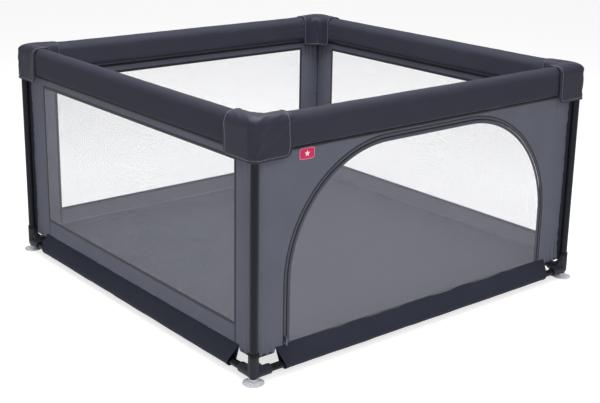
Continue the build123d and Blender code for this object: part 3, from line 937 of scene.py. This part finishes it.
# ---- bottom ----
def bottom_sleeves():
    """The cloth folded round each bottom rail, drawn in to the seam, with slanted ends."""
    radius, tip = SLEEVE_RADIUS, SLEEVE_TIP
    centre = middle_of("bottom_rail_front")
    ridge_y, ridge_z = WALL_Y, HEM_HIGH.z - tip
    drop = Vector((-POST - ridge_y, centre.z - ridge_z))
    slope = math.asin((radius - tip) / drop.length)
    run = math.sqrt(drop.length**2 - (radius - tip) ** 2)
    heading = math.atan2(drop.y, drop.x) - slope
    start_y = ridge_y + tip * math.cos(heading - QUARTER)
    start_z = ridge_z + tip * math.sin(heading - QUARTER)
    legs = [(run, None), (radius * (math.pi + 2 * slope), -radius), (run, None)]
    girth = sum(length for length, _ in legs)
    top_half, low_half = POST - SLEEVE_CUT_TOP, POST - SLEEVE_CUT_LOW
    tall = ridge_z - centre.z + radius

    def place(across, around):
        gone = (1 - around) * girth
        y, z, turned = walk(gone, legs, start_y, start_z, heading)
        half = mix(top_half, low_half, (ridge_z - z) / tall)
        x = mix(-half, half, across)
        edge = half - abs(x)
        swell = ripple((x, gone, 4), 0.05, 0.9 * MM)
        swell += hem_relief(edge - 4 * MM) + gathers(edge - 4 * MM, gone - 8 * MM, 30 * MM, 1.4 * MM)
        swell *= math.sin(math.pi * around) ** 0.5 if 0 < around < 1 else 0
        away = turned - QUARTER
        return (x, y + swell * math.cos(away), z + swell * math.sin(away))

    sleeve = laid_cloth("sleeve", 260, 36, place, threads=(2 * top_half, girth))
    finish_with(sleeve, "SOLIDIFY", thickness=CLOTH, offset=-1)
    smoothed(sleeve, 60)
    for side, piece in turned_copies(sleeve, "bottom_hem", SIDES).items():
        dressed(piece, "pen", HEM_CLOTH)
        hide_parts(f"bottom_sleeve_{side}")


def floor_cloth():
    """The cloth floor, turned up at its edges to the bottom seam, with a slight sag."""
    half = WALL_END - 1.5 * MM
    seam = WALL_BOTTOM - 1 * MM
    level = FLOOR_LOW.z

    def place(across, up):
        x, y = mix(-half, half, across), mix(-half, half, up)
        edge = half - max(abs(x), abs(y))
        z = mix(seam, level, ease(edge / 0.03))
        z -= 5 * MM * ease(edge / 0.4)
        z += ripple((x, y, 3), 0.22, 3.5 * MM) * ease(edge / 0.1) + ripple((x, y, 6), 0.07, 0.8 * MM)
        return (x, y, z)

    piece = laid_cloth("floor_cloth", 120, 120, place, threads=(2 * half, 2 * half))
    finish_with(piece, "SOLIDIFY", thickness=CLOTH, offset=0)
    smoothed(piece)
    dressed(piece, "pen", FLOOR_CLOTH)
    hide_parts("floor_sheet")


def suction_cups():
    """Soft cups with a rim, a dome and a neck, turned from one profile."""
    centre = middle_of("suction_cup_front_left")
    rim = (CUP_HIGH.x - CUP_LOW.x) / 2
    outline = [(0, 1.8), (9, 1.6), (16, 1.0), (rim / MM - 5, 0.2), (rim / MM - 0.6, 0.0), (rim / MM, 0.9),
               (rim / MM - 0.5, 2.0), (21, 4.0), (14, 6.4), (10.4, 8.2), (9.2, 9.4), (9.0, 12), (0, 12)]
    clear_selection()
    bpy.ops.mesh.primitive_circle_add(vertices=len(outline), radius=1, fill_type="NOTHING")
    cup = named("cup")
    for vertex, (radius, z) in zip(cup.data.vertices, outline):
        vertex.co = centre + Vector((radius * MM, 0, z * MM - centre.z))
    edit_all(cup)
    bpy.ops.mesh.spin(steps=48, angle=4 * QUARTER, center=(centre.x, centre.y, 0), axis=(0, 0, 1))
    close_up(0.05 * MM)
    smoothed(cup, 40)
    for corner, piece in turned_copies(cup, "cup", CORNERS).items():
        dressed(piece, "pen", CUP_RUBBER)
        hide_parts(f"suction_cup_{corner}")


def base_connectors():
    """The moulded corner connectors, taken from the frame and softened at their edges."""
    for corner in CORNERS:
        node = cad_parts[f"base_connector_{corner}"]
        copy = node.copy()
        copy.data = node.data.copy()
        copy.parent = None
        copy.matrix_world = Matrix()
        copy.name = f"base_corner_{corner}"
        bpy.context.collection.objects.link(copy)
        copy.hide_render = copy.hide_viewport = False
        edit_all(copy)
        bpy.ops.mesh.remove_doubles(threshold=0.01 * MM)
        bpy.ops.object.mode_set(mode="OBJECT")
        finish_with(copy, "REMESH", mode="VOXEL", voxel_size=1.3 * MM)
        finish_with(copy, "SMOOTH", factor=0.5, iterations=5)
        smoothed(copy)
        dressed(copy, "pen", CONNECTOR_PLASTIC)
        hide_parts(f"base_connector_{corner}")


def rounded_patch(name, half_width, half_height, front, thickness, material):
    """A flat patch with rounded corners on the front wall, around the label's middle."""
    clear_selection()
    bpy.ops.mesh.primitive_circle_add(vertices=64, radius=1, fill_type="NGON")
    patch = named(name)
    for vertex in patch.data.vertices:
        angle = math.atan2(vertex.co.y, vertex.co.x)
        x = math.copysign(abs(math.cos(angle)) ** 0.4, math.cos(angle)) * half_width
        z = math.copysign(abs(math.sin(angle)) ** 0.4, math.sin(angle)) * half_height
        vertex.co = (LABEL_MIDDLE.x + x, front, LABEL_MIDDLE.z + z)
    return raised_patch(patch, thickness, material)


def raised_patch(patch, thickness, material):
    """Gives a flat patch its thickness, UVs in metres and its cloth."""
    edit_all(patch)
    bpy.ops.mesh.extrude_region_move(TRANSFORM_OT_translate={"value": (0, thickness, 0)})
    bpy.ops.mesh.select_all(action="SELECT")
    bpy.ops.mesh.normals_make_consistent(inside=False)
    bpy.ops.object.mode_set(mode="OBJECT")
    smoothed(patch, 30)
    uv = patch.data.uv_layers.active.data
    for loop in patch.data.loops:
        point = patch.data.vertices[loop.vertex_index].co
        uv[loop.index].uv = (point.x, point.z)
    return dressed(patch, "pen", material)


def label():
    """The sewn label: a patch with a lighter edge and a plain woven star."""
    half_width, half_height = 23.5 * MM, 14.5 * MM
    border = 1.8 * MM
    points, tip_reach, notch_reach = 5, 8.5 * MM, 3.8 * MM
    face = WALL_Y - CLOTH / 2
    edge = rounded_patch("label_edge", half_width, half_height, face - 1.2 * MM, 1.0 * MM, LABEL_EDGE)
    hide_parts("sewn_label")
    rounded_patch("label_patch", half_width - border, half_height - border, face - 1.6 * MM, 1.2 * MM,
                  LABEL_CLOTH)
    clear_selection()
    bpy.ops.mesh.primitive_circle_add(vertices=2 * points, radius=1, fill_type="NGON")
    star = named("label_star")
    for index, vertex in enumerate(star.data.vertices):
        reach = tip_reach if index % 2 == 0 else notch_reach
        angle = QUARTER + index * math.pi / points
        vertex.co = (LABEL_MIDDLE.x + reach * math.cos(angle), face - 1.9 * MM,
                     LABEL_MIDDLE.z + reach * math.sin(angle))
    raised_patch(star, 0.6 * MM, LABEL_THREAD)


def framework():
    """Finishes on the CAD pieces that keep their own shape."""
    finishes = {"post_": POST_COAT, "bottom_rail_": RAIL_COAT, "top_rail_": RAIL_COAT,
                "rail_couplers": RAIL_COAT, "top_connector_": CONNECTOR_PLASTIC,
                "post_collars": COLLAR_RUBBER, "zip_slider": SLIDER_METAL, "pull_tab": SLIDER_METAL}
    for name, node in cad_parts.items():
        for start, material in finishes.items():
            if name.startswith(start):
                node.data.materials.clear()
                node.data.materials.append(material)


def stage():
    """A pale floor, a white surround, soft lights and the camera."""
    clear_selection()
    bpy.ops.mesh.primitive_plane_add(size=60, location=(0, 0, -0.2 * MM))
    ground = named("ground")
    finish = Finish("ground_paint")
    finish.surface(Base_Color=(0.45, 0.45, 0.45, 1.0), Roughness=0.9, Specular_IOR_Level=0.0,
                   Emission_Color=(1, 1, 1, 1), Emission_Strength=0.70)
    ground.data.materials.append(finish.material)

    world = bpy.data.worlds.new("studio")
    bpy.context.scene.world = world
    world.use_nodes = True
    world.node_tree.nodes["Background"].inputs["Color"].default_value = (1, 1, 1, 1)
    world.node_tree.nodes["Background"].inputs["Strength"].default_value = 0.5
    lamp("overhead", (0, 0, 2.2), (0, 0, 0), 1.8, 75)
    lamp("key", (-1.2, -2.7, 1.9), (-0.3, -0.5, 0.4), 1.2, 20)
    lamp("fill", (-3.0, -2.6, 1.9), (-0.6, -0.6, 0.6), 0.8, 14)

    lens = bpy.data.cameras.new("camera")
    lens.sensor_width = 36
    lens.lens = 67.343
    lens.shift_y = -0.07
    stand, roll = (-2.0822, -2.5770, 1.2600), 0.017
    camera = bpy.data.objects.new("camera", lens)
    bpy.context.collection.objects.link(camera)
    aim = Vector((0.61016, 0.74519, -0.26907)).normalized()
    level = aim.cross(Vector((0, 0, 1))).normalized()
    turn = Matrix((level, level.cross(aim), -aim)).transposed() @ Matrix.Rotation(roll, 3, "Z")
    camera.matrix_world = Matrix.Translation(stand) @ turn.to_4x4()
    bpy.context.scene.camera = camera
    bpy.context.scene.view_settings.view_transform = "Standard"


def lamp(name, place, target, size, power):
    """A square soft light that faces a point."""
    light = bpy.data.lights.new(name, "AREA")
    light.size = size
    light.energy = power
    holder = bpy.data.objects.new(name, light)
    bpy.context.collection.objects.link(holder)
    holder.visible_camera = False
    holder.location = place
    holder.rotation_euler = (Vector(target) - Vector(place)).to_track_quat("-Z", "Y").to_euler()


stage()
framework()
rail_pads()
corner_caps()
window_walls()
shadow_line_and_foot_tapes()
corner_seams()
front_wall()
door()
bottom_sleeves()
floor_cloth()
suction_cups()
base_connectors()
label()
